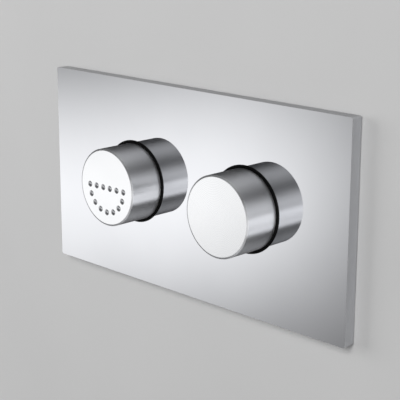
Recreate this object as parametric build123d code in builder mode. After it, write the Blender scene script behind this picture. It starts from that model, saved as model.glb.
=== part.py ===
from build123d import *
import math
import os

# A wall plate with two raised push buttons, for a cistern hidden in the wall.
# Sizes are in millimetres. The origin is the centre of the plate in the wall plane.
# X runs to the right for someone facing the plate, Y runs into the wall, Z is up.

# Face plate: a chromed pan, open at the back, with two round openings
plate_width = 210.0
plate_height = 110.0
plate_depth = 6.7
plate_wall = 2.6
rim_wall = 2.4
plate_corner_round = 1.0

# Buttons: turned chrome cups that slide in guide housings
button_pitch = 81.0
button_diameter = 41.6
button_stand = 20.2
button_travel = 10.0
button_bevel_width = 0.9
button_bevel_depth = 0.36
cap_front_wall = 2.6
cap_skirt_wall = 2.0
cap_guide_length = 14.0
cap_boss_diameter = 11.0
cap_boss_height = 5.0

# Guide housings: black mouldings whose noses show as a ring round each button
slide_clearance = 0.2
nose_wall = 1.3
nose_stand = 0.7
nose_chamfer = 0.3
nose_clearance = 0.2
flange_thickness = 2.4
flange_overhang = 3.2
ear_radius = 4.4
ear_reach = 4.2
ear_count = 3
gusset_thickness = 2.0
gusset_height = 8.0
housing_floor = 2.4
stop_gap = 0.3
drain_slot_length = 8.0
drain_slot_width = 3.0
drain_slot_inset = 2.2

# Screws that hold the housings to the posts on the back of the face plate
post_radius = 3.4
post_height = 6.0
screw_diameter = 2.9
screw_length = 8.0
screw_head_diameter = 5.6
screw_head_height = 2.0
screw_end_gap = 0.6
hole_clearance = 0.2
thread_clearance = 0.05

# Plungers: mouldings inside the caps, guided by the housing floors
disc_clearance = 0.3
disc_thickness = 2.4
disc_rib_count = 6
disc_rib_height = 3.0
disc_rib_thickness = 1.6
disc_rib_inset = 1.0
sleeve_diameter = 15.0
sleeve_web = 4.0
sleeve_tail = 4.0
cap_screw_diameter = 4.0
cap_screw_engagement = 4.0
cap_screw_head_diameter = 7.0
cap_screw_head_height = 3.0

# Retaining clips: open rings in a groove behind each housing
clip_thickness = 1.0
clip_groove_depth = 1.1
clip_outer_diameter = 21.0
clip_mouth = 9.0
clip_play = 0.1

# Return springs round the plunger sleeves
spring_wire = 1.2
spring_clearance = 0.5
spring_turns = 5.0
spring_end_gap = 0.1

# Push rods, adjustable in length, with a lock nut and a soft foot
rod_diameter = 9.0
rod_length = 46.0
rod_engagement = 12.0
rod_chamfer = 0.8
nut_across_flats = 15.0
nut_height = 5.0
foot_wall = 2.2
foot_socket = 8.0
foot_end = 3.0
foot_chamfer = 1.5

# Mounting frame: a flat moulding screwed to the wall, hidden in the pan
frame_side_clearance = 0.4
frame_front_clearance = 0.3
frame_corner_round = 2.0
frame_opening_width = 150.0
frame_opening_height = 68.0
frame_opening_round = 6.0
skirt_wall = 1.8
skirt_depth = 6.0
fixing_inset_x = 10.2
fixing_inset_z = 10.2
fixing_slot_width = 4.8
fixing_slot_length = 10.0
fixing_recess_margin = 2.4
fixing_recess_depth = 2.2

# Spring clips pushed on tabs of the face plate, which snap behind the frame's skirt
tab_inset_x = 9.0
tab_width = 8.0
tab_thickness = 1.5
tab_beyond_skirt = 3.0
tab_skirt_gap = 3.0
spring_clip_width = 7.0
spring_clip_sheet = 0.5
spring_clip_gap = 0.1
spring_clip_end_gap = 0.4
spring_clip_bend = 0.8
spring_clip_leg = 8.0
barb_reach = 0.9
barb_clearance = 0.3

# Planes and places along Y that follow from the sizes above
plate_front = -plate_depth
plate_inner = plate_front + plate_wall
post_end = plate_inner + post_height
flange_rear = post_end + flange_thickness
button_front = plate_front - button_stand
cap_inner = button_front + cap_front_wall
cap_boss_end = cap_inner + cap_boss_height
cap_rim = plate_front + cap_guide_length
disc_rear = cap_boss_end + disc_thickness
sleeve_web_rear = disc_rear + sleeve_web
floor_inner = cap_rim + button_travel + stop_gap
housing_rear = floor_inner + housing_floor
clip_front = housing_rear + clip_play
clip_rear = clip_front + clip_thickness
sleeve_end = clip_rear + clip_play + sleeve_tail
rod_start = sleeve_end - rod_engagement
rod_end = rod_start + rod_length
foot_front = rod_end - foot_socket
foot_rear = rod_end + foot_end
frame_front = plate_inner + frame_front_clearance

# Sizes across the plate that follow from the sizes above
pan_width = plate_width - 2 * rim_wall
pan_height = plate_height - 2 * rim_wall
frame_width = pan_width - 2 * frame_side_clearance
frame_height = pan_height - 2 * frame_side_clearance
fixing_pitch_x = frame_width - 2 * fixing_inset_x
fixing_pitch_z = frame_height - 2 * fixing_inset_z
tab_outer_z = frame_opening_height / 2 - tab_skirt_gap
tab_pitch_x = frame_opening_width - 2 * tab_inset_x
tab_pitch_z = 2 * tab_outer_z - tab_thickness
tab_end = skirt_depth + tab_beyond_skirt

# Radii that follow from the sizes above
cap_radius = button_diameter / 2
cap_bore_radius = cap_radius - cap_skirt_wall
housing_bore_radius = cap_radius + slide_clearance
nose_radius = housing_bore_radius + nose_wall
opening_radius = nose_radius + nose_clearance
flange_radius = nose_radius + flange_overhang
ear_circle_radius = nose_radius + ear_reach
disc_radius = cap_bore_radius - disc_clearance
sleeve_radius = sleeve_diameter / 2
guide_radius = sleeve_radius + slide_clearance
clip_groove_radius = sleeve_radius - clip_groove_depth
rod_radius = rod_diameter / 2
rod_bore_radius = rod_radius + thread_clearance
spring_inner_radius = sleeve_radius + spring_clearance
spring_mean_radius = spring_inner_radius + spring_wire / 2

ear_angles = [90 + index * 360 / ear_count for index in range(ear_count)]
button_places = {"left": -button_pitch / 2, "right": button_pitch / 2}

os.makedirs("parts", exist_ok=True)


def wall_plane(y, x=0.0):
    """A plane parallel to the wall, with its sketch seen from the front."""
    return Plane(origin=(x, y, 0), x_dir=(1, 0, 0), z_dir=(0, -1, 0))


def turning_plane(x):
    """A plane for turned outlines: first the radius, then the place along Y."""
    return Plane(origin=(x, 0, 0), x_dir=(1, 0, 0), z_dir=(0, 0, 1))


def button_axis(x):
    """The axis that a button slides along."""
    return Axis((x, 0, 0), (0, 1, 0))


def save(part, name):
    """Label a finished piece and write it to its own file."""
    part.label = name
    export_step(part, f"parts/{name}.step")


def button_cap(x):
    """A turned cup with a boss inside for the screw that holds the plunger."""
    thread_radius = cap_screw_diameter / 2 + thread_clearance
    thread_end = cap_boss_end - cap_screw_engagement - screw_end_gap
    with BuildPart() as cap:
        with BuildSketch(turning_plane(x)):
            with BuildLine():
                Polyline(
                    (0, button_front),
                    (cap_radius - button_bevel_width, button_front),
                    (cap_radius, button_front + button_bevel_depth),
                    (cap_radius, cap_rim),
                    (cap_bore_radius, cap_rim),
                    (cap_bore_radius, cap_inner),
                    (cap_boss_diameter / 2, cap_inner),
                    (cap_boss_diameter / 2, cap_boss_end),
                    (thread_radius, cap_boss_end),
                    (thread_radius, thread_end),
                    (0, thread_end),
                    close=True,
                )
            make_face()
        revolve(axis=button_axis(x))
    return cap.part


def guide_housing(x):
    """A barrel with a nose through the plate, a flange with ears and a slotted floor."""
    with BuildPart() as housing:
        with BuildSketch(turning_plane(x)):
            with BuildLine():
                Polyline(
                    (housing_bore_radius, plate_front - nose_stand),
                    (nose_radius, plate_front - nose_stand),
                    (nose_radius, housing_rear),
                    (guide_radius, housing_rear),
                    (guide_radius, floor_inner),
                    (housing_bore_radius, floor_inner),
                    close=True,
                )
            make_face()
        revolve(axis=button_axis(x))
        nose_edge = housing.edges().filter_by(GeomType.CIRCLE).group_by(Axis.Y)[0].sort_by(SortBy.RADIUS)[-1]
        chamfer(nose_edge, nose_chamfer)

        with BuildSketch(wall_plane(post_end, x)):
            Circle(flange_radius)
            with PolarLocations(ear_circle_radius, ear_count, start_angle=ear_angles[0]):
                Circle(ear_radius)
                Circle(screw_diameter / 2 + hole_clearance, mode=Mode.SUBTRACT)
            Circle(housing_bore_radius, mode=Mode.SUBTRACT)
        extrude(amount=-flange_thickness)

        for ear_angle in ear_angles:
            gusset_angle = math.radians(ear_angle + 180 / ear_count)
            outward = Vector(math.cos(gusset_angle), 0, math.sin(gusset_angle))
            across = Vector(-math.sin(gusset_angle), 0, math.cos(gusset_angle))
            with BuildSketch(Plane(origin=(x, 0, 0), x_dir=outward, z_dir=across)):
                with BuildLine():
                    Polyline(
                        (nose_radius - nose_wall / 2, flange_rear),
                        (flange_radius, flange_rear),
                        (nose_radius, flange_rear + gusset_height),
                        (nose_radius - nose_wall / 2, flange_rear + gusset_height),
                        close=True,
                    )
                make_face()
            extrude(amount=gusset_thickness / 2, both=True)

        slot_circle_radius = housing_bore_radius - drain_slot_inset - drain_slot_length / 2
        with BuildSketch(wall_plane(housing_rear, x)):
            with PolarLocations(slot_circle_radius, ear_count, start_angle=ear_angles[0]):
                SlotOverall(drain_slot_length, drain_slot_width)
        extrude(amount=housing_floor, mode=Mode.SUBTRACT)
    return housing.part


def plunger(x):
    """A ribbed disc inside the cap with a long sleeve that the housing floor guides."""
    cap_screw_hole = cap_screw_diameter / 2 + hole_clearance
    groove_rear = clip_rear + clip_play
    rib_start = spring_mean_radius + spring_wire / 2 + disc_rib_inset
    rib_length = disc_radius - disc_rib_inset - rib_start
    with BuildPart() as moulding:
        with BuildSketch(turning_plane(x)):
            with BuildLine():
                Polyline(
                    (cap_screw_hole, cap_boss_end),
                    (disc_radius, cap_boss_end),
                    (disc_radius, disc_rear),
                    (sleeve_radius, disc_rear),
                    (sleeve_radius, housing_rear),
                    (clip_groove_radius, housing_rear),
                    (clip_groove_radius, groove_rear),
                    (sleeve_radius, groove_rear),
                    (sleeve_radius, sleeve_end),
                    (rod_bore_radius, sleeve_end),
                    (rod_bore_radius, sleeve_web_rear),
                    (cap_screw_hole, sleeve_web_rear),
                    close=True,
                )
            make_face()
        revolve(axis=button_axis(x))
        with BuildSketch(wall_plane(disc_rear, x)):
            with PolarLocations(rib_start + rib_length / 2, disc_rib_count):
                Rectangle(rib_length, disc_rib_thickness)
        extrude(amount=-disc_rib_height)
    return moulding.part


def cap_screw(x):
    """The screw inside the sleeve that draws the plunger against the cap's boss."""
    with BuildPart() as screw:
        with BuildSketch(wall_plane(sleeve_web_rear, x)):
            Circle(cap_screw_head_diameter / 2)
        extrude(amount=-cap_screw_head_height)
        with BuildSketch(wall_plane(sleeve_web_rear, x)):
            Circle(cap_screw_diameter / 2)
        extrude(amount=sleeve_web_rear - cap_boss_end + cap_screw_engagement)
    return screw.part


def retaining_clip(x):
    """An open ring that stops the button at its rest place."""
    with BuildPart() as clip:
        with BuildSketch(wall_plane(clip_front, x)):
            Circle(clip_outer_diameter / 2)
            Circle(clip_groove_radius + thread_clearance, mode=Mode.SUBTRACT)
            with Locations((0, -clip_outer_diameter / 2)):
                Rectangle(clip_mouth, clip_outer_diameter, mode=Mode.SUBTRACT)
        extrude(amount=-clip_thickness)
    return clip.part


def return_spring(x):
    """A coil between the plunger's disc and the housing's floor."""
    first_turn = disc_rear + spring_end_gap + spring_wire / 2
    last_turn = floor_inner - spring_end_gap - spring_wire / 2
    coil_length = last_turn - first_turn
    with BuildPart() as spring:
        with BuildLine() as coil:
            Helix(
                pitch=coil_length / spring_turns,
                height=coil_length,
                radius=spring_mean_radius,
                center=(x, first_turn, 0),
                direction=(0, 1, 0),
            )
        with BuildSketch(Plane(origin=coil.line @ 0, x_dir=(0, 1, 0), z_dir=coil.line % 0)):
            Rectangle(spring_wire, spring_wire)
        sweep(is_frenet=True)
    return spring.part


def push_rod(x):
    """A plain bar, screwed into the sleeve, that reaches back to the flush valve."""
    with BuildPart() as rod:
        with BuildSketch(wall_plane(rod_start, x)):
            Circle(rod_radius)
        extrude(amount=-rod_length)
        chamfer(rod.edges().filter_by(GeomType.CIRCLE), rod_chamfer)
    return rod.part


def lock_nut(x):
    """A hexagon nut that locks the rod against the end of the sleeve."""
    with BuildPart() as nut:
        with BuildSketch(wall_plane(sleeve_end, x)):
            RegularPolygon(nut_across_flats / 2, side_count=6, major_radius=False)
            Circle(rod_bore_radius, mode=Mode.SUBTRACT)
        extrude(amount=-nut_height)
    return nut.part


def rod_foot(x):
    """A soft cap over the end of the rod."""
    foot_radius = rod_bore_radius + foot_wall
    with BuildPart() as foot:
        with BuildSketch(turning_plane(x)):
            with BuildLine():
                Polyline(
                    (rod_bore_radius, foot_front),
                    (foot_radius, foot_front),
                    (foot_radius, foot_rear - foot_chamfer),
                    (foot_radius - foot_chamfer, foot_rear),
                    (0, foot_rear),
                    (0, rod_end),
                    (rod_bore_radius, rod_end),
                    close=True,
                )
            make_face()
        revolve(axis=button_axis(x))
    return foot.part


# The face plate, with its posts for the housings and its tabs for the spring clips
opening_places = [(x, 0) for x in button_places.values()]
with BuildPart() as face_plate:
    with BuildSketch(wall_plane(plate_front)):
        RectangleRounded(plate_width, plate_height, plate_corner_round)
    extrude(amount=-plate_depth)
    with BuildSketch(wall_plane(0)):
        Rectangle(pan_width, pan_height)
    extrude(amount=plate_depth - plate_wall, mode=Mode.SUBTRACT)
    with BuildSketch(wall_plane(plate_inner)):
        with Locations(opening_places):
            Circle(opening_radius)
    extrude(amount=plate_wall, mode=Mode.SUBTRACT)
    with BuildSketch(wall_plane(plate_inner)):
        with Locations(opening_places):
            with PolarLocations(ear_circle_radius, ear_count, start_angle=ear_angles[0]):
                Circle(post_radius)
                Circle(screw_diameter / 2 + thread_clearance, mode=Mode.SUBTRACT)
    extrude(amount=-post_height)
    with BuildSketch(wall_plane(plate_inner)):
        with GridLocations(tab_pitch_x, tab_pitch_z, 2, 2):
            Rectangle(tab_width, tab_thickness)
    extrude(amount=plate_inner - tab_end)
save(face_plate.part, "face_plate")

# The mounting frame, with its skirt into the wall and its slots for the wall screws
with BuildPart() as mounting_frame:
    with BuildSketch(wall_plane(frame_front)):
        RectangleRounded(frame_width, frame_height, frame_corner_round)
    extrude(amount=frame_front)
    with BuildSketch(wall_plane(0)):
        RectangleRounded(
            frame_opening_width + 2 * skirt_wall,
            frame_opening_height + 2 * skirt_wall,
            frame_opening_round + skirt_wall,
        )
    extrude(amount=-skirt_depth)
    with BuildSketch(wall_plane(frame_front)):
        RectangleRounded(frame_opening_width, frame_opening_height, frame_opening_round)
    extrude(amount=frame_front - skirt_depth, mode=Mode.SUBTRACT)
    with BuildSketch(wall_plane(frame_front)):
        with GridLocations(fixing_pitch_x, fixing_pitch_z, 2, 2):
            SlotOverall(fixing_slot_length, fixing_slot_width)
    extrude(amount=frame_front, mode=Mode.SUBTRACT)
    with BuildSketch(wall_plane(frame_front)):
        with GridLocations(fixing_pitch_x, fixing_pitch_z, 2, 2):
            SlotOverall(
                fixing_slot_length + 2 * fixing_recess_margin,
                fixing_slot_width + 2 * fixing_recess_margin,
            )
    extrude(amount=-fixing_recess_depth, mode=Mode.SUBTRACT)
save(mounting_frame.part, "mounting_frame")

# The spring clips: bent strips that straddle the tabs, with a barb behind the skirt
half_sheet = spring_clip_sheet / 2
inner_leg_z = tab_outer_z - tab_thickness - spring_clip_gap - half_sheet
outer_leg_z = tab_outer_z + spring_clip_gap + half_sheet
bend_y = tab_end + spring_clip_end_gap + half_sheet
skirt_inner_z = frame_opening_height / 2
barb_z = skirt_inner_z + barb_reach
barb_y = skirt_depth + barb_clearance + barb_reach + half_sheet * math.sqrt(2)
barb_foot_y = barb_y - (barb_z - outer_leg_z)
with BuildPart() as plate_clips:
    with BuildSketch(Plane(origin=(tab_pitch_x / 2, 0, 0), x_dir=(0, 1, 0), z_dir=(1, 0, 0))):
        with BuildLine() as strip:
            FilletPolyline(
                (bend_y - spring_clip_leg, inner_leg_z),
                (bend_y, inner_leg_z),
                (bend_y, outer_leg_z),
                (barb_y, barb_z),
                (barb_foot_y, outer_leg_z),
                radius=spring_clip_bend,
            )
        trace(line_width=spring_clip_sheet)
    extrude(amount=spring_clip_width / 2, both=True)
    mirror(about=Plane.XY)
    mirror(about=Plane.YZ)
save(plate_clips.part, "plate_clips")

# The screws that hold both housings, as one group
with BuildPart() as housing_screws:
    with BuildSketch(wall_plane(flange_rear)):
        with Locations(opening_places):
            with PolarLocations(ear_circle_radius, ear_count, start_angle=ear_angles[0]):
                Circle(screw_head_diameter / 2)
    extrude(amount=-screw_head_height)
    with BuildSketch(wall_plane(flange_rear)):
        with Locations(opening_places):
            with PolarLocations(ear_circle_radius, ear_count, start_angle=ear_angles[0]):
                Circle(screw_diameter / 2)
    extrude(amount=screw_length)
save(housing_screws.part, "housing_screws")

# The pieces that each button has, made once at each button's place
button_pieces = {
    "button_cap": button_cap,
    "guide_housing": guide_housing,
    "plunger": plunger,
    "cap_screw": cap_screw,
    "retaining_clip": retaining_clip,
    "return_spring": return_spring,
    "push_rod": push_rod,
    "lock_nut": lock_nut,
    "rod_foot": rod_foot,
}
for side, place in button_places.items():
    for piece_name, make_piece in button_pieces.items():
        save(make_piece(place), f"{side}_{piece_name}")
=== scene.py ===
# %% [markdown]
# A flush plate with two raised buttons
#
# The object is a mirror-bright wall plate for a cistern that is hidden in the wall. Two chrome buttons
# stand out of it, each inside a black ring, and behind the wall each button drives a threaded rod.
# The solids arrive from the CAD model at their real size. This lesson dresses them: it gives each piece
# its finish, rounds the edges that a mould or a lathe leaves, and lights the whole so that chrome reads
# as chrome. A mirror has no colour of its own, so half of the work is the room that it reflects.

# %% Load the frame
import math
import bmesh
import bpy
from mathutils import Euler, Matrix, Vector


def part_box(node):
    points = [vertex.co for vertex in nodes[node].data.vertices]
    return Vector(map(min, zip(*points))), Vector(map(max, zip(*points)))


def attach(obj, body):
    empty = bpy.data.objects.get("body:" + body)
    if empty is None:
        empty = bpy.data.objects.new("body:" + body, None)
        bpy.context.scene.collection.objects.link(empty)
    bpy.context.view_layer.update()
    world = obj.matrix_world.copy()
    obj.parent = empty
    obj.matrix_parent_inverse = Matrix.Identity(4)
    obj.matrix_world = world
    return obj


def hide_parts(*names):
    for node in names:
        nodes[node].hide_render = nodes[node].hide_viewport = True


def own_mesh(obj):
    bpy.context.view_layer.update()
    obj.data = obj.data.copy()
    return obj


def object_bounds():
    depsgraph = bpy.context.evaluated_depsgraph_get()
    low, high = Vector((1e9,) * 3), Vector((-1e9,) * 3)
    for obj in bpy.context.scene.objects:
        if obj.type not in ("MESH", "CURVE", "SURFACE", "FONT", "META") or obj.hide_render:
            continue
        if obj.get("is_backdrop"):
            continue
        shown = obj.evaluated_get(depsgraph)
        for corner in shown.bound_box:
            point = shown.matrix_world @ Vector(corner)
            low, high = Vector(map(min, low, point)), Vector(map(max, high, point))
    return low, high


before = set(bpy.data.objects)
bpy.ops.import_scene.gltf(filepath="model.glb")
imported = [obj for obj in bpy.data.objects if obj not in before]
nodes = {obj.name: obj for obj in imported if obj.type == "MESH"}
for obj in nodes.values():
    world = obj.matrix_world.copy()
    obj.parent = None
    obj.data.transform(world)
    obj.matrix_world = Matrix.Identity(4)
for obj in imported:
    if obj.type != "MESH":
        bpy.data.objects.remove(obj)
cad_low, cad_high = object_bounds()
print("CAD pieces:", len(nodes), "box in mm:", [round(1000 * size, 1) for size in cad_high - cad_low])

# %% [markdown]
# Every place in this lesson comes from the frame. A push rod is centred on its button's axis, so the
# middle of its box gives that axis, and the boxes of the plate and the caps give the planes that the
# other pieces sit on. Lengths are in metres, and `mm` keeps small sizes readable.

# %% Read the main places
mm = 0.001
sides = ("left", "right")
axis_x = {}
for side in sides:
    rod_low, rod_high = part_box(f"{side}_push_rod")
    axis_x[side] = (rod_low.x + rod_high.x) / 2
plate_low, plate_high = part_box("face_plate")
plate_front = plate_low.y
print("button axes at x in mm:", {side: round(1000 * x, 2) for side, x in axis_x.items()})

# %% [markdown]
# A few helpers make most of the shapes. A turned piece starts as a wire outline in one half plane: corners
# that a lathe would break are rounded with a vertex bevel, and a full spin sweeps the wire round the
# button's axis. It could also be made with a Screw modifier, but the spin leaves a real mesh whose
# corners can still be picked out. A finished shape that repeats, such as a screw, is copied by
# `add_copies`.
#
# `settle` ends every piece in the same way. It shades the mesh smooth with sharp creases, and adds a
# Weighted Normal modifier, so that a large flat face stays optically flat beside its small rounding.
# On a mirror that matters more than the number of faces.

# %% Helpers for shapes
crease_angle = math.radians(40)
merge_distance = 0.002 * mm
full_turn = 2 * math.pi
rounding_segments = 6


def close_up(bm, distance=merge_distance):
    """Merge doubled vertices and point every face outwards."""
    bmesh.ops.remove_doubles(bm, verts=bm.verts, dist=distance)
    bmesh.ops.recalc_face_normals(bm, faces=bm.faces)


def turned(outline, x, steps):
    """Spin (radius, y, rounding) corners round a button's axis."""
    bm = bmesh.new()
    corners = [bm.verts.new((x + radius, y, 0)) for radius, y, rounding in outline]
    for pair in zip(corners, corners[1:]):
        bm.edges.new(pair)
    for corner, (radius, y, rounding) in zip(corners, outline):
        if rounding > 0:
            bmesh.ops.bevel(
                bm, geom=[corner], offset=rounding, affect="VERTICES",
                segments=rounding_segments, profile=0.5, material=-1,
            )
    bmesh.ops.spin(
        bm, geom=bm.verts[:] + bm.edges[:], cent=(x, 0, 0), axis=(0, 1, 0),
        angle=full_turn, steps=steps, use_merge=True,
    )
    close_up(bm)
    return bm


def add_copies(bm, pattern, places):
    """Add copies of one bmesh to another, moved to several places."""
    one = bpy.data.meshes.new("pattern")
    pattern.to_mesh(one)
    pattern.free()
    for place in places:
        one.transform(Matrix.Translation(place))
        bm.from_mesh(one)
        one.transform(Matrix.Translation(-place))
    bpy.data.meshes.remove(one)
    return bm


def settle(bm, name, finishes, body, stands_for=(), crease=crease_angle):
    """Make a mesh a piece that rides a body, takes a finish and stands for CAD nodes."""
    mesh = bpy.data.meshes.new(name)
    bm.to_mesh(mesh)
    bm.free()
    mesh.shade_smooth()
    mesh.set_sharp_from_angle(angle=crease)
    for finish in finishes:
        mesh.materials.append(finish)
    piece = bpy.data.objects.new(name, mesh)
    bpy.context.scene.collection.objects.link(piece)
    even = piece.modifiers.new("even_normals", "WEIGHTED_NORMAL")
    even.keep_sharp = True
    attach(piece, body)
    if stands_for:
        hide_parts(*stands_for)
    print("made", name, "with", len(mesh.polygons), "faces on", body)
    return piece


print("roundings use", rounding_segments, "segments")

# %% [markdown]
# Moulded and pressed pieces already have their exact form in the frame, but a CAD edge is a perfect
# knife edge, which never catches the light. So such a piece is a copy of its solid: the loose triangles
# are merged, edges too short to see are closed, flat areas are joined into single faces, and every edge
# sharper than a set angle gets the small radius that a tool leaves. The bevel clamps itself where edges
# are short, and on a piece with many short edges that would leave it nothing, so such a piece gets a
# smaller radius without the clamp. The solid itself isn't touched.

# %% Helper for softened copies
flat_angle = math.radians(1)
edge_angle = math.radians(35)
short_edge = 0.03 * mm


def softened(node, radius, segments=2, clamp=True):
    """A merged copy of a solid, with every sharp edge rounded."""
    bm = bmesh.new()
    bm.from_mesh(nodes[node].data)
    close_up(bm, short_edge)
    bmesh.ops.dissolve_limit(bm, angle_limit=flat_angle, verts=bm.verts, edges=bm.edges)
    sharp_edges = [edge for edge in bm.edges if edge.calc_face_angle(0) > edge_angle]
    bmesh.ops.bevel(
        bm, geom=sharp_edges, offset=radius, affect="EDGES", segments=segments,
        profile=0.5, material=-1, clamp_overlap=clamp,
    )
    return bm


print("edges over", round(math.degrees(edge_angle)), "degrees are rounded on softened copies")

# %% [markdown]
# The finishes come next. Each is a Principled shader fed by noise on Object coordinates, so nothing is
# one flat colour and nothing slides when a piece moves. Small helpers keep the node trees short: they
# scatter noise, map its middle to a range of values or of colours, and turn it into relief. Two more set
# how a metal looks at a grazing angle and how much a moulding shines, and `surface` puts together the
# kind of finish that most pieces have.

# %% Helpers for finishes
noise_low = 0.3
noise_high = 0.7


def start_finish(name):
    """A new material, its tree, its shader and its Object coordinates."""
    finish = bpy.data.materials.new(name)
    finish.use_nodes = True
    tree = finish.node_tree
    shader = tree.nodes["Principled BSDF"]
    place = tree.nodes.new("ShaderNodeTexCoord").outputs["Object"]
    return finish, tree, shader, place


def clouds(tree, place, size, detail=3.0):
    """Noise whose blotches are about one size across."""
    noise = tree.nodes.new("ShaderNodeTexNoise")
    noise.inputs["Scale"].default_value = 1 / size
    noise.inputs["Detail"].default_value = detail
    tree.links.new(place, noise.inputs["Vector"])
    return noise.outputs["Fac"]


def spread(tree, factor, low, high):
    """Map the middle of a noise to a range of values."""
    scale = tree.nodes.new("ShaderNodeMapRange")
    scale.inputs["From Min"].default_value = noise_low
    scale.inputs["From Max"].default_value = noise_high
    scale.inputs["To Min"].default_value = low
    scale.inputs["To Max"].default_value = high
    tree.links.new(factor, scale.inputs["Value"])
    return scale.outputs["Result"]


def tint(tree, factor, dark, light):
    """Map a noise to the colours between two tones."""
    ramp = tree.nodes.new("ShaderNodeValToRGB")
    ramp.color_ramp.elements[0].position = noise_low
    ramp.color_ramp.elements[0].color = (*dark, 1)
    ramp.color_ramp.elements[1].position = noise_high
    ramp.color_ramp.elements[1].color = (*light, 1)
    tree.links.new(factor, ramp.inputs["Fac"])
    return ramp.outputs["Color"]


def relief(tree, shader, height, depth):
    """Use a height as bump, with its depth in metres."""
    bump = tree.nodes.new("ShaderNodeBump")
    bump.inputs["Distance"].default_value = depth
    tree.links.new(height, bump.inputs["Height"])
    tree.links.new(bump.outputs["Normal"], shader.inputs["Normal"])


def darken_grazing(finish, tone):
    """Tint the reflection of a metal where the look grazes it."""
    shader = finish.node_tree.nodes["Principled BSDF"]
    shader.inputs["Specular Tint"].default_value = (tone, tone, tone, 1)


def dull(finish, level):
    """Lower the gloss of a moulding."""
    shader = finish.node_tree.nodes["Principled BSDF"]
    shader.inputs["Specular IOR Level"].default_value = level


def surface(name, dark, light, roughness, metallic, patch, grain, grain_depth):
    """A finish with clouded colour, uneven roughness and a fine grain."""
    finish, tree, shader, place = start_finish(name)
    shader.inputs["Metallic"].default_value = metallic
    large = clouds(tree, place, patch)
    fine = clouds(tree, place, grain, detail=2.0)
    tree.links.new(tint(tree, large, dark, light), shader.inputs["Base Color"])
    tree.links.new(spread(tree, fine, *roughness), shader.inputs["Roughness"])
    relief(tree, shader, fine, grain_depth)
    print("finish", name, "roughness", roughness, "grain in mm", round(1000 * grain, 2))
    return finish


print("noise is used from", noise_low, "to", noise_high)

# %% [markdown]
# Polished chrome is the face of the object. Chrome sends back about three fifths of the light, a touch
# more of the blue, and its plating is so even that only a faint cloudiness shows. The roughness stays
# near zero so that the plate mirrors the buttons: in the plate each button seems to go on behind its
# black ring, and that mirror image is what makes the plate look polished. Chrome doesn't brighten at a
# grazing look as much as the shader's own curve does, and the Specular Tint takes that back.

# %% Polished chrome
polished_edge_tint = 0.65
polished_chrome = surface(
    "polished_chrome", dark=(0.600, 0.607, 0.628), light=(0.622, 0.629, 0.650),
    roughness=(0.012, 0.030), metallic=1.0, patch=45 * mm, grain=2.5 * mm, grain_depth=0.0002 * mm,
)
darken_grazing(polished_chrome, polished_edge_tint)

# %% [markdown]
# The sides of the buttons were turned on a lathe, so fine lines run round them. Such lines spread a
# reflection along the button's axis and leave it sharp round the curve: the bands of light stay crisp,
# but the black ring isn't mirrored in the side above it. The Principled shader calls this anisotropy. Its
# Tangent input gets a direction round the Y axis, and a quarter turn lays the spread along the axis. The
# lines also shade each other at a grazing look, so the Specular Tint darkens the outline of the button.

# %% Turned chrome
turned_edge_tint = 0.12
turned_dark = (0.605, 0.612, 0.631)
turned_light = (0.635, 0.642, 0.661)
turned_roughness = (0.29, 0.34)
turned_patch = 30 * mm
turning_lines = 420
line_wander = 1.5
line_detail = 2.0
quarter_turn = 0.25


def turned_chrome_finish():
    """Chrome with turning lines round the button, which spread reflections along its axis."""
    finish, tree, shader, place = start_finish("turned_chrome")
    shader.inputs["Metallic"].default_value = 1.0
    shader.inputs["Anisotropic"].default_value = 1.0
    shader.inputs["Anisotropic Rotation"].default_value = quarter_turn
    around = tree.nodes.new("ShaderNodeTangent")
    around.direction_type = "RADIAL"
    around.axis = "Y"
    tree.links.new(around.outputs["Tangent"], shader.inputs["Tangent"])
    large = clouds(tree, place, turned_patch)
    tree.links.new(tint(tree, large, turned_dark, turned_light), shader.inputs["Base Color"])
    lines = tree.nodes.new("ShaderNodeTexWave")
    lines.bands_direction = "Y"
    lines.inputs["Scale"].default_value = turning_lines
    lines.inputs["Distortion"].default_value = line_wander
    lines.inputs["Detail"].default_value = line_detail
    tree.links.new(place, lines.inputs["Vector"])
    tree.links.new(spread(tree, lines.outputs["Fac"], *turned_roughness), shader.inputs["Roughness"])
    return finish


turned_chrome = turned_chrome_finish()
darken_grazing(turned_chrome, turned_edge_tint)
print("finish", turned_chrome.name)

# %% [markdown]
# The faces that the fingers meet are satin: brighter than the plate, with blurred reflections. They were
# faced off on a lathe, so their lines are rings about the button's axis. A Mapping node moves the centre
# of a ring-shaped wave to that axis, which is why each button has a face finish of its own.

# %% Satin faces
satin_dark = (0.690, 0.697, 0.708)
satin_light = (0.715, 0.722, 0.733)
satin_roughness = (0.13, 0.17)
satin_patch = 25 * mm
facing_rings = 380
ring_wander = 0.8
ring_depth = 0.0002 * mm


def satin_face_finish(side):
    """Satin chrome with facing rings about one button's axis."""
    finish, tree, shader, place = start_finish(f"satin_face_{side}")
    shader.inputs["Metallic"].default_value = 1.0
    large = clouds(tree, place, satin_patch)
    tree.links.new(tint(tree, large, satin_dark, satin_light), shader.inputs["Base Color"])
    centre = tree.nodes.new("ShaderNodeMapping")
    centre.inputs["Location"].default_value = (-axis_x[side], 0, 0)
    tree.links.new(place, centre.inputs["Vector"])
    rings = tree.nodes.new("ShaderNodeTexWave")
    rings.wave_type = "RINGS"
    rings.rings_direction = "Y"
    rings.inputs["Scale"].default_value = facing_rings
    rings.inputs["Distortion"].default_value = ring_wander
    tree.links.new(centre.outputs["Vector"], rings.inputs["Vector"])
    tree.links.new(spread(tree, rings.outputs["Fac"], *satin_roughness), shader.inputs["Roughness"])
    relief(tree, shader, rings.outputs["Fac"], ring_depth)
    return finish


satin_face = {side: satin_face_finish(side) for side in sides}
print("finishes", [finish.name for finish in satin_face.values()])

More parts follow.
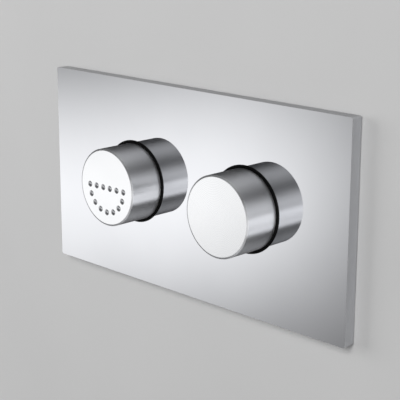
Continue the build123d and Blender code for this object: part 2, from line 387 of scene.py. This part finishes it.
# %% [markdown]
# The other finishes are hidden by the wall in use, and seen when the plate is handled. Black, grey and
# white mouldings have the fine spark texture of their tools, the rubber feet are matt, and the springs,
# clips and screws are bare or zinc-plated steel.

# %% Finishes behind the plate
moulding_gloss = 0.2
gap_shade_gloss = 0.06
black_plastic = surface(
    "black_plastic", dark=(0.004, 0.004, 0.005), light=(0.009, 0.009, 0.010),
    roughness=(0.20, 0.34), metallic=0.0, patch=18 * mm, grain=0.5 * mm, grain_depth=0.006 * mm,
)
dull(black_plastic, moulding_gloss)
# Painted shade: this finish is darker and less glossy than black plastic. It is used only on the ring in
# front of the plate and stands for the black moulding plus the shade in the gap between cap and plate.
matt_black_gap_shade = surface(
    "matt_black_gap_shade", dark=(0.0015, 0.0015, 0.0015), light=(0.0035, 0.0035, 0.0035),
    roughness=(0.52, 0.68), metallic=0.0, patch=18 * mm, grain=0.3 * mm, grain_depth=0.010 * mm,
)
dull(matt_black_gap_shade, gap_shade_gloss)
grey_frame = surface(
    "grey_frame", dark=(0.250, 0.256, 0.264), light=(0.300, 0.306, 0.314),
    roughness=(0.48, 0.66), metallic=0.0, patch=30 * mm, grain=0.7 * mm, grain_depth=0.020 * mm,
)
white_acetal = surface(
    "white_acetal", dark=(0.700, 0.700, 0.680), light=(0.770, 0.770, 0.755),
    roughness=(0.30, 0.44), metallic=0.0, patch=14 * mm, grain=0.6 * mm, grain_depth=0.006 * mm,
)
spring_steel = surface(
    "spring_steel", dark=(0.380, 0.385, 0.395), light=(0.520, 0.525, 0.535),
    roughness=(0.20, 0.36), metallic=1.0, patch=5 * mm, grain=0.4 * mm, grain_depth=0.004 * mm,
)
zinc_plate = surface(
    "zinc_plate", dark=(0.520, 0.530, 0.550), light=(0.680, 0.680, 0.665),
    roughness=(0.22, 0.40), metallic=1.0, patch=3 * mm, grain=0.4 * mm, grain_depth=0.004 * mm,
)
grey_nut = surface(
    "grey_nut", dark=(0.085, 0.088, 0.094), light=(0.115, 0.118, 0.124),
    roughness=(0.36, 0.52), metallic=0.0, patch=9 * mm, grain=0.5 * mm, grain_depth=0.010 * mm,
)
soft_rubber = surface(
    "soft_rubber", dark=(0.014, 0.014, 0.015), light=(0.028, 0.028, 0.029),
    roughness=(0.66, 0.86), metallic=0.0, patch=7 * mm, grain=0.5 * mm, grain_depth=0.020 * mm,
)

# %% [markdown]
# The face plate keeps its own solid: a mirror wants exactly flat faces and crisp edges, and the frame
# has both. Only its finish changes. The screws deep inside the sleeves are never seen, so they keep their
# solids as well.

# %% Dress the solids that stay
nodes["face_plate"].material_slots[0].material = polished_chrome
for side in sides:
    nodes[f"{side}_cap_screw"].material_slots[0].material = zinc_plate
print("dressed", "face_plate", [f"{side}_cap_screw" for side in sides])

# %% [markdown]
# The left button flushes half the water, and a half disc of small dimples says so to eye and finger. Six
# dimples stand in a row across the face, and seven more follow an arc below from one end of the row to
# the other. A dimple is what a ball leaves in the metal, so its outline is an arc of that ball, spun
# round. Raised dots would be as easy to make, but they would look wider from the side than these marks.

# %% Half flush mark
dimple_radius = 1.63 * mm
dimple_slope = math.radians(34)
dimple_rings = 8
dimple_steps = 28
mark_radius = 13.3 * mm
mark_drop = 0.22 * mm
row_dimples = 6
arc_dimples = 7


def mark_places():
    """The dimples' places about the button's axis."""
    row_step = 2 * mark_radius / (row_dimples - 1)
    row = [(-mark_radius + index * row_step, 0.0) for index in range(row_dimples)]
    arc_step = math.pi / (arc_dimples + 1)
    arc = []
    for index in range(arc_dimples):
        angle = math.pi + (index + 1) * arc_step
        arc.append((mark_radius * math.cos(angle), mark_radius * math.sin(angle)))
    return [Vector((x, 0, z - mark_drop)) for x, z in row + arc]


def dimple(x, front):
    """The hollow of a ball in a button's face, open at its rim."""
    ball = dimple_radius / math.sin(dimple_slope)
    outline = []
    for ring in range(dimple_rings + 1):
        slope = dimple_slope * (1 - ring / dimple_rings)
        depth = ball * (math.cos(slope) - math.cos(dimple_slope))
        outline.append((ball * math.sin(slope), front + depth, 0))
    return turned(outline, x, dimple_steps)


print("dimples:", len(mark_places()))

# %% [markdown]
# A button cap is a turned cup: a thick face with a shallow bevel round it, a thin skirt that slides in the
# black ring, and a boss inside for the screw that holds the plunger. A cylinder with a bevel would look
# right from the front, but the cap is open at the back, so the whole section is drawn and spun. The bevel
# leans only a little, so it mirrors the dark middle of the room and draws a thin line round the bright
# face. Two hundred steps keep the outline round even where the plate mirrors it.
#
# The middle of each face is left open by the spin. The left cap gets its dimples there, and one fill closes
# what is still open: the face between the rim and the dimples, or the whole middle on the right.

# %% Button caps
cap_steps = 200
cap_bevel_width = 0.9 * mm
cap_bevel_depth = 0.36 * mm
cap_edge_round = 0.08 * mm
cap_face_border = 1.0 * mm
cap_front_wall = 2.6 * mm
cap_skirt_wall = 2.0 * mm
cap_boss_radius = 5.5 * mm
cap_boss_height = 5.0 * mm
cap_thread_radius = 2.05 * mm
cap_thread_depth = 4.6 * mm
cap_small_round = 0.3 * mm
cap_crease = math.radians(20)
facing = 0.999
satin_index = 1
polished_index = 2


def button_cap(side, marks):
    """A chrome cup with a satin face, turned sides and a dimple for each mark."""
    low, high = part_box(f"{side}_button_cap")
    x = axis_x[side]
    radius = high.z
    front = low.y
    rim = high.y
    face_radius = radius - cap_bevel_width
    open_radius = face_radius - cap_face_border
    inner = front + cap_front_wall
    bore = radius - cap_skirt_wall
    boss_end = inner + cap_boss_height
    outline = [
        (open_radius, front, 0),
        (face_radius, front, cap_edge_round),
        (radius, front + cap_bevel_depth, cap_edge_round),
        (radius, rim, cap_small_round),
        (bore, rim, cap_small_round),
        (bore, inner, cap_small_round),
        (cap_boss_radius, inner, cap_small_round),
        (cap_boss_radius, boss_end, cap_small_round),
        (cap_thread_radius, boss_end, 0),
        (cap_thread_radius, boss_end - cap_thread_depth, 0),
        (0, boss_end - cap_thread_depth, 0),
    ]
    bm = turned(outline, x, cap_steps)
    if marks:
        add_copies(bm, dimple(x, front), marks)
    open_edges = [edge for edge in bm.edges if edge.is_boundary]
    bmesh.ops.triangle_fill(bm, use_beauty=True, edges=open_edges)
    close_up(bm)
    for face in bm.faces:
        middle = face.calc_center_median()
        if face.normal.y < -facing and middle.y < front + merge_distance:
            face.material_index = satin_index
        elif middle.y < inner and math.hypot(middle.x - x, middle.z) < open_radius:
            face.material_index = polished_index
    settle(
        bm, f"{side}_chrome_cap", [turned_chrome, satin_face[side], polished_chrome],
        f"{side}_button", [f"{side}_button_cap"], cap_crease,
    )


button_cap("left", mark_places())
button_cap("right", [])

# %% [markdown]
# Each button slides in a black guide housing. Its nose comes through the plate and shows as the ring,
# and behind the plate it has a flange with three ears, gussets and a slotted floor. The housing and the
# white plunger inside it are mouldings, so both are softened copies with a small tool radius. What stands
# in front of the plate is a near-lightless matt black. It is partly the black of the moulding and partly
# painted shade of the narrow gap between cap and plate, so that the ring draws a dead black line.

# %% Housings and plungers
housing_edge = 0.10 * mm
plunger_edge = 0.25 * mm
gap_shade_index = 1
for side in sides:
    housing = softened(f"{side}_guide_housing", housing_edge, clamp=False)
    # The faces in front of the plate take the near-black finish, which paints the gap's shade onto the
    # ring.
    for face in housing.faces:
        if face.calc_center_median().y < plate_front:
            face.material_index = gap_shade_index
    settle(
        housing, f"{side}_black_housing", [black_plastic, matt_black_gap_shade],
        "plate", [f"{side}_guide_housing"],
    )
    settle(
        softened(f"{side}_plunger", plunger_edge), f"{side}_white_plunger", [white_acetal],
        f"{side}_button", [f"{side}_plunger"],
    )
print("mould radii in mm:", round(1000 * housing_edge, 2), round(1000 * plunger_edge, 2))

# %% [markdown]
# A spring inside each cap brings the button back. A real one is round wire with its last turns wound
# close, so that it stands flat. A spin with a step along the axis makes a helix from a circle: three
# spins in a row, with a small pitch, the working pitch and the small pitch again.

# %% Return springs
wire_radius = 0.6 * mm
wire_points = 14
coil_steps = 48
end_turns = 0.75
working_turns = 5
end_pitch = 2.1 * wire_radius


def wind(bm, geometry, x, turns, pitch):
    """Carry a wire's section on along a helix and return its last ring."""
    steps = round(turns * coil_steps)
    spun = bmesh.ops.spin(
        bm, geom=geometry, cent=(x, 0, 0), axis=(0, 1, 0), dvec=(0, turns * pitch / steps, 0),
        angle=turns * full_turn, steps=steps, use_merge=False,
    )
    return spun["geom_last"]


def return_spring(side):
    """A coil of round wire between the plunger's disc and the housing's floor."""
    low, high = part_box(f"{side}_return_spring")
    x = axis_x[side]
    mean_radius = high.z - wire_radius
    first = low.y + wire_radius
    rise = high.y - low.y - 2 * wire_radius
    working_pitch = (rise - 2 * end_turns * end_pitch) / working_turns
    bm = bmesh.new()
    section = Matrix.Translation((x + mean_radius, first, 0))
    bmesh.ops.create_circle(bm, segments=wire_points, radius=wire_radius, matrix=section)
    geometry = bm.verts[:] + bm.edges[:]
    for turns, pitch in ((end_turns, end_pitch), (working_turns, working_pitch), (end_turns, end_pitch)):
        geometry = wind(bm, geometry, x, turns, pitch)
    bmesh.ops.holes_fill(bm, edges=[edge for edge in bm.edges if edge.is_boundary], sides=0)
    close_up(bm)
    spring = settle(
        bm, f"{side}_wire_spring", [spring_steel], f"{side}_button",
        [f"{side}_return_spring"],
    )
    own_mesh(spring)
    return working_pitch


print("working pitch in mm:", [round(1000 * return_spring(side), 2) for side in sides])

# %% [markdown]
# Behind the housing an open ring of spring steel sits in a groove of the plunger and stops the button at
# rest. Four bent strips of the same steel hold the plate to its frame. All are punched from thin sheet,
# so their softened edges are under a tenth of a millimetre.

# %% Spring steel clips
sheet_edge = 0.08 * mm
for side in sides:
    settle(
        softened(f"{side}_retaining_clip", sheet_edge), f"{side}_stop_ring", [spring_steel],
        f"{side}_button", [f"{side}_retaining_clip"],
    )
settle(
    softened("plate_clips", sheet_edge), "snap_clips", [spring_steel],
    "plate", ["plate_clips"],
)
print("sheet edges rounded by", round(1000 * sheet_edge, 2), "mm")

# %% [markdown]
# The push rods are threaded, so that a fitter can set their length to the depth of the wall. A thread is
# one outline, a single pitch long, spun along the axis so that each turn ends where the next begins.
# The ends come out ragged, so the bar is wound a turn too long at both ends and cut off square.

# %% Push rods
thread_pitch = 1.5 * mm
thread_depth = 0.7 * mm
thread_steps = 40
crest_start = 0.40
crest_end = 0.60
root_end = 0.15


def push_rod(side):
    """A bar with a thread along its whole length."""
    low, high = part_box(f"{side}_push_rod")
    x = axis_x[side]
    crest = high.z
    root = crest - thread_depth
    start = low.y - thread_pitch
    turns = math.ceil((high.y - low.y) / thread_pitch) + 2
    outline = [
        (root, 0.0), (root, root_end), (crest, crest_start),
        (crest, crest_end), (root, 1 - root_end), (root, 1.0),
    ]
    bm = bmesh.new()
    corners = [bm.verts.new((x + radius, start + share * thread_pitch, 0)) for radius, share in outline]
    for pair in zip(corners, corners[1:]):
        bm.edges.new(pair)
    bmesh.ops.spin(
        bm, geom=bm.verts[:] + bm.edges[:], cent=(x, 0, 0), axis=(0, 1, 0),
        dvec=(0, thread_pitch / thread_steps, 0), angle=turns * full_turn, steps=turns * thread_steps,
        use_merge=False,
    )
    bmesh.ops.remove_doubles(bm, verts=bm.verts, dist=merge_distance)
    for end, outward in ((low.y, -1), (high.y, 1)):
        geometry = bm.verts[:] + bm.edges[:] + bm.faces[:]
        bmesh.ops.bisect_plane(
            bm, geom=geometry, plane_co=(0, end, 0), plane_no=(0, outward, 0), clear_outer=True,
        )
        open_edges = [edge for edge in bm.edges if edge.is_boundary]
        rim = [edge for edge in open_edges if abs(edge.verts[0].co.y - end) < merge_distance]
        bmesh.ops.holes_fill(bm, edges=rim, sides=0)
    close_up(bm)
    settle(
        bm, f"{side}_threaded_rod", [white_acetal], f"{side}_button", [f"{side}_push_rod"],
    )
    return turns


print("thread turns:", [push_rod(side) for side in sides])

# %% [markdown]
# A hexagon nut locks each rod, and a rubber foot on its end meets the flush valve. The nut is a softened
# copy with a wide edge. The foot is turned, with a rounded end and two grooves that let it grip the rod.

# %% Nuts and feet
nut_edge = 0.5 * mm
foot_steps = 64
foot_bore = 4.55 * mm
foot_end_wall = 3.0 * mm
foot_round = 1.6 * mm
foot_lip_round = 0.6 * mm
groove_places = (2.4 * mm, 4.8 * mm)
groove_width = 0.9 * mm
groove_depth = 0.6 * mm
groove_round = 0.2 * mm


def rubber_foot(side):
    """A soft cap with grip grooves over the end of the rod."""
    low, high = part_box(f"{side}_rod_foot")
    radius = high.z
    seat = high.y - foot_end_wall
    outline = [(foot_bore, low.y, 0), (radius, low.y, foot_lip_round)]
    for place in groove_places:
        groove = low.y + place
        outline += [
            (radius, groove, groove_round),
            (radius - groove_depth, groove, groove_round),
            (radius - groove_depth, groove + groove_width, groove_round),
            (radius, groove + groove_width, groove_round),
        ]
    outline += [
        (radius, high.y, foot_round), (0, high.y, 0),
        (0, seat, 0), (foot_bore, seat, 0), (foot_bore, low.y, 0),
    ]
    bm = turned(outline, axis_x[side], foot_steps)
    settle(
        bm, f"{side}_rubber_foot", [soft_rubber], f"{side}_button", [f"{side}_rod_foot"],
    )


for side in sides:
    settle(
        softened(f"{side}_lock_nut", nut_edge, segments=3), f"{side}_hexagon_nut", [grey_nut],
        f"{side}_button", [f"{side}_lock_nut"],
    )
    rubber_foot(side)
print("grip grooves on each foot:", len(groove_places))

# %% [markdown]
# Six screws hold the housings to posts on the back of the plate. They are pan heads with a cross recess.
# The head is turned with its top left open, a cross of twelve points is drawn in the opening, the ring
# between is filled, and the cross is pushed down with a taper. One screw is made, then copied.

# %% Housing screws
head_radius = 2.8 * mm
head_height = 2.0 * mm
head_round = 1.1 * mm
shank_radius = 1.45 * mm
head_flat = 1.6 * mm
cross_reach = 1.3 * mm
cross_half = 0.32 * mm
cross_depth = 1.0 * mm
cross_taper = 0.6
cross_arms = 4
ear_count = 3
first_ear = 90
screw_steps = 48
screw_low, screw_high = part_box("housing_screws")
ear_circle = screw_high.z - head_radius
ear_angles = [math.radians(first_ear + index * 360 / ear_count) for index in range(ear_count)]


def cross_points():
    """The twelve corners of a cross, as (x, z)."""
    arm = [(cross_half, cross_half), (cross_reach, cross_half), (cross_reach, -cross_half)]
    points = []
    for quarter in range(cross_arms):
        turn = Matrix.Rotation(-quarter * full_turn / cross_arms, 2)
        points += [turn @ Vector(point) for point in arm]
    return points


def housing_screw(seat, tip):
    """One pan-head screw on the Y axis, its head towards +Y."""
    top = seat + head_height
    outline = [
        (head_flat, top, 0), (head_radius, top, head_round), (head_radius, seat, 0),
        (shank_radius, seat, 0), (shank_radius, tip, 0), (0, tip, 0),
    ]
    bm = turned(outline, 0, screw_steps)
    rim = [edge for edge in bm.edges if edge.is_boundary]
    corners = [bm.verts.new((x, top, z)) for x, z in cross_points()]
    cross = [bm.edges.new(pair) for pair in zip(corners, corners[1:] + corners[:1])]
    bmesh.ops.triangle_fill(bm, use_beauty=True, edges=rim + cross)
    walls = bmesh.ops.extrude_edge_only(bm, edges=cross)["geom"]
    floor = [item for item in walls if isinstance(item, bmesh.types.BMVert)]
    taper = Matrix.Diagonal((cross_taper, 1, cross_taper))
    for corner in floor:
        corner.co = taper @ corner.co
        corner.co.y -= cross_depth
    bmesh.ops.holes_fill(bm, edges=[edge for edge in bm.edges if edge.is_boundary], sides=0)
    close_up(bm)
    return bm


ear_places = [
    Vector((axis_x[side] + ear_circle * math.cos(angle), 0, ear_circle * math.sin(angle)))
    for side in sides for angle in ear_angles
]
all_screws = add_copies(bmesh.new(), housing_screw(screw_high.y - head_height, screw_low.y), ear_places)
settle(all_screws, "cross_head_screws", [zinc_plate], "plate", ["housing_screws"])
print("screws:", len(ear_places))

# %% [markdown]
# The mounting frame is screwed to the wall first, and the plate snaps over it. It is a grey moulding with
# a coarse spark texture, a skirt into the wall and a slot at each corner, and it too is a softened copy.

# %% Mounting frame
frame_edge = 0.3 * mm
settle(
    softened("mounting_frame", frame_edge), "frame_moulding", [grey_frame], "plate",
    ["mounting_frame"],
)
print("frame edges rounded by", round(1000 * frame_edge, 2), "mm")

# %% [markdown]
# The stage is the wall that the plate hangs on: pale, matt paint with a trace of roller texture. It lies
# just behind the plate's rim and has a hole for what goes into the wall. Seen from behind it would hide
# the works, so its material lets rays through wherever they meet the back of the sheet.

# %% Wall
wall_half = 2.0
wall_gap = 0.3 * mm
hole_margin = 1.0 * mm


def wall_finish():
    """Matt paint in front, nothing at all behind."""
    paint = surface(
        "wall_paint", dark=(0.575, 0.575, 0.575), light=(0.595, 0.595, 0.595),
        roughness=(0.80, 0.95), metallic=0.0, patch=120 * mm, grain=1.2 * mm, grain_depth=0.004 * mm,
    )
    tree = paint.node_tree
    side_seen = tree.nodes.new("ShaderNodeNewGeometry")
    clear = tree.nodes.new("ShaderNodeBsdfTransparent")
    choice = tree.nodes.new("ShaderNodeMixShader")
    tree.links.new(side_seen.outputs["Backfacing"], choice.inputs["Fac"])
    tree.links.new(tree.nodes["Principled BSDF"].outputs["BSDF"], choice.inputs[1])
    tree.links.new(clear.outputs["BSDF"], choice.inputs[2])
    tree.links.new(choice.outputs["Shader"], tree.nodes["Material Output"].inputs["Surface"])
    return paint


def rectangle(bm, half_width, half_height):
    """A loop of four edges in the wall's plane."""
    corners = [
        (-half_width, -half_height), (half_width, -half_height),
        (half_width, half_height), (-half_width, half_height),
    ]
    loop = [bm.verts.new((x, wall_gap, z)) for x, z in corners]
    return [bm.edges.new(pair) for pair in zip(loop, loop[1:] + loop[:1])]


bm = bmesh.new()
outer = rectangle(bm, wall_half, wall_half)
inner = rectangle(bm, plate_high.x - hole_margin, plate_high.z - hole_margin)
bmesh.ops.bridge_loops(bm, edges=outer + inner)
for face in bm.faces:
    if face.normal.y > 0:
        face.normal_flip()
wall_mesh = bpy.data.meshes.new("wall")
bm.to_mesh(wall_mesh)
bm.free()
wall_mesh.materials.append(wall_finish())
wall = bpy.data.objects.new("wall", wall_mesh)
bpy.context.scene.collection.objects.link(wall)
wall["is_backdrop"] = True
print("wall faces:", len(wall_mesh.polygons))

# %% [markdown]
# Now the room. Lamps alone would show in the mirror as hard white shapes, so the soft boxes of this
# studio are painted on the world: a Mapping node carries a direction into a soft box's own frame, a
# spherical Gradient makes an ellipsoid there, and a smooth step softens its edge. The plate mirrors the
# two low boxes on the left, which overlap. The round sides of the buttons mirror many of them in turn,
# which gives the bands of light and dark that make a cylinder look like polished metal. One box has a
# negative strength: it takes light away, as a black flag does in a studio. Only glossy reflections see
# the boxes. Matt surfaces get a plain grey sky and the lamps, so that the boxes throw no odd shadows on
# the wall.

# %% World
mirror_front = 0.173
mirror_rear = 0.64
ambient_front = 0.17
ambient_rear = 0.62
background_tone = 0.80
blend_depth = 0.4
soft_boxes = {
    "left_low": dict(azimuth=56.3, elevation=-14.6, width=0.34, height=0.18, strength=1.47),
    "left_near": dict(azimuth=42.0, elevation=-14.0, width=0.20, height=0.216, strength=0.853),
    "left_far": dict(azimuth=82.0, elevation=-10.0, width=0.40, height=0.38, strength=0.90),
    "left_gap": dict(azimuth=52.0, elevation=5.0, width=0.50, height=0.20, strength=-0.11),
    "left_under": dict(azimuth=50.0, elevation=-29.5, width=0.40, height=0.15, strength=0.90),
    "right_low": dict(azimuth=-45.0, elevation=-20.0, width=0.62, height=0.36, strength=2.04, softness=0.5),
    "right_under": dict(azimuth=-36.0, elevation=-33.0, width=0.60, height=0.12, strength=1.11),
    "right_high": dict(azimuth=-42.0, elevation=8.0, width=0.55, height=0.55, strength=2.10),
    "right_far": dict(azimuth=-80.0, elevation=-5.0, width=0.45, height=0.45, strength=1.00),
    "front_right": dict(azimuth=-15.0, elevation=-5.0, width=0.34, height=0.45, strength=0.70),
    "overhead": dict(azimuth=15.0, elevation=45.0, width=0.55, height=0.40, strength=0.63),
    "overhead_wide": dict(azimuth=0.0, elevation=47.0, width=0.80, height=0.50, strength=0.57),
    "floor_glow": dict(azimuth=10.0, elevation=-46.0, width=0.50, height=0.90, strength=0.83),
}


def studio_direction(azimuth, elevation):
    """A direction from its angle towards the left of the front and its angle above the horizon."""
    turn = math.radians(azimuth)
    rise = math.radians(elevation)
    return Vector((-math.sin(turn) * math.cos(rise), -math.cos(turn) * math.cos(rise), math.sin(rise)))


def soft_box(tree, sky, azimuth, elevation, width, height, strength, softness=1.0):
    """The glow of one soft box for every direction of the sky."""
    local = tree.nodes.new("ShaderNodeMapping")
    local.vector_type = "TEXTURE"
    local.inputs["Location"].default_value = studio_direction(azimuth, elevation)
    local.inputs["Rotation"].default_value = (0, 0, -math.radians(azimuth))
    local.inputs["Scale"].default_value = (width, 1.0, height)
    tree.links.new(sky, local.inputs["Vector"])
    ball = tree.nodes.new("ShaderNodeTexGradient")
    ball.gradient_type = "SPHERICAL"
    tree.links.new(local.outputs["Vector"], ball.inputs["Vector"])
    edge = tree.nodes.new("ShaderNodeMapRange")
    edge.interpolation_type = "SMOOTHSTEP"
    edge.inputs["From Max"].default_value = softness
    edge.inputs["To Max"].default_value = strength
    tree.links.new(ball.outputs["Fac"], edge.inputs["Value"])
    return edge.outputs["Result"]


def two_tones(tree, depth, front, rear):
    """A tone for the room in front of the wall that turns into another behind it."""
    blend = tree.nodes.new("ShaderNodeMapRange")
    blend.interpolation_type = "SMOOTHSTEP"
    blend.inputs["From Max"].default_value = blend_depth
    blend.inputs["To Min"].default_value = front
    blend.inputs["To Max"].default_value = rear
    tree.links.new(depth, blend.inputs["Value"])
    return blend.outputs["Result"]


def background(tree, tone):
    """A background that takes its grey from a socket."""
    sky = tree.nodes.new("ShaderNodeBackground")
    tree.links.new(tone, sky.inputs["Color"])
    return sky.outputs["Background"]


def build_studio():
    """A world of soft boxes for the metal, and plain tones for matt surfaces and for the camera."""
    world = bpy.data.worlds.new("studio")
    world.use_nodes = True
    bpy.context.scene.world = world
    tree = world.node_tree
    sky = tree.nodes.new("ShaderNodeTexCoord").outputs["Generated"]
    axes = tree.nodes.new("ShaderNodeSeparateXYZ")
    tree.links.new(sky, axes.inputs["Vector"])
    depth = axes.outputs["Y"]
    mirrored = two_tones(tree, depth, mirror_front, mirror_rear)
    for box in soft_boxes.values():
        added = tree.nodes.new("ShaderNodeMath")
        tree.links.new(mirrored, added.inputs[0])
        tree.links.new(soft_box(tree, sky, **box), added.inputs[1])
        mirrored = added.outputs["Value"]
    ambient = two_tones(tree, depth, ambient_front, ambient_rear)
    pale = tree.nodes["Background"]
    pale.inputs["Color"].default_value = (background_tone, background_tone, background_tone, 1)
    ray = tree.nodes.new("ShaderNodeLightPath")
    metal = tree.nodes.new("ShaderNodeMixShader")
    tree.links.new(ray.outputs["Is Glossy Ray"], metal.inputs["Fac"])
    tree.links.new(background(tree, ambient), metal.inputs[1])
    tree.links.new(background(tree, mirrored), metal.inputs[2])
    seen = tree.nodes.new("ShaderNodeMixShader")
    tree.links.new(ray.outputs["Is Camera Ray"], seen.inputs["Fac"])
    tree.links.new(metal.outputs["Shader"], seen.inputs[1])
    tree.links.new(pale.outputs["Background"], seen.inputs[2])
    tree.links.new(seen.outputs["Shader"], tree.nodes["World Output"].inputs["Surface"])


build_studio()
print("soft boxes:", list(soft_boxes))

# %% [markdown]
# A few large lamps add what the world can't: a direction for the shadows. One stands far out on the left,
# so the plate's edge throws a soft shadow on the wall at its right, and a high one in front leaves the
# wall a little darker under the plate. Two lamps behind the wall light the works for anyone who walks
# round. They don't show in the metal, whose reflections belong to the world.

# %% Lamps
def soft_lamp(name, place, size, power):
    """A large square lamp aimed at the middle of the plate."""
    light = bpy.data.lights.new(name, "AREA")
    light.size = size
    light.energy = power
    lamp = bpy.data.objects.new(name, light)
    lamp.location = place
    lamp.rotation_euler = (-Vector(place)).to_track_quat("-Z", "Y").to_euler()
    lamp.visible_glossy = False
    bpy.context.scene.collection.objects.link(lamp)
    return lamp


lamps = [
    soft_lamp("side_lamp", (-1.30, -0.70, 0.20), 0.9, 11.4),
    soft_lamp("high_lamp", (0.50, -1.60, 0.90), 1.0, 24.2),
    soft_lamp("rear_lamp_left", (-1.00, 1.10, 0.80), 0.8, 6.0),
    soft_lamp("rear_lamp_right", (1.00, 1.20, 0.40), 0.8, 4.0),
]
print("lamps:", [lamp.name for lamp in lamps])

# %% [markdown]
# The camera stands to the right of the plate and a little above it, far enough away that the long edges
# stay almost parallel. Its angles, its distance and its lens were worked out from the corners of the
# plate and the circles of the buttons in the photograph.

# %% Camera
camera_azimuth = math.radians(44.93)
camera_elevation = math.radians(14.92)
camera_roll = math.radians(0.15)
camera_distance = 608.8 * mm
camera_lens = 107.1
camera_sensor = 36.0
camera_aim = Vector((9.2 * mm, plate_front, -1.07 * mm))

level = math.cos(camera_elevation)
back = Vector((
    math.sin(camera_azimuth) * level, -math.cos(camera_azimuth) * level, math.sin(camera_elevation),
))
lens = bpy.data.cameras.new("camera")
lens.lens = camera_lens
lens.sensor_width = camera_sensor
camera = bpy.data.objects.new("camera", lens)
camera.rotation_mode = "QUATERNION"
camera.location = camera_aim + back * camera_distance
camera.rotation_quaternion = (-back).to_track_quat("-Z", "Y") @ Euler((0, 0, camera_roll)).to_quaternion()
bpy.context.scene.collection.objects.link(camera)
bpy.context.scene.camera = camera
bpy.context.scene.view_settings.view_transform = "Standard"
print("camera at mm:", [round(1000 * value, 1) for value in camera.location])

# %% Sizes and finish
bpy.context.view_layer.update()
look_low, look_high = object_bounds()
past_low = [round(1000 * max(0, value), 2) for value in cad_low - look_low]
past_high = [round(1000 * max(0, value), 2) for value in look_high - cad_high]
print("past the CAD box in mm:", past_low, past_high)
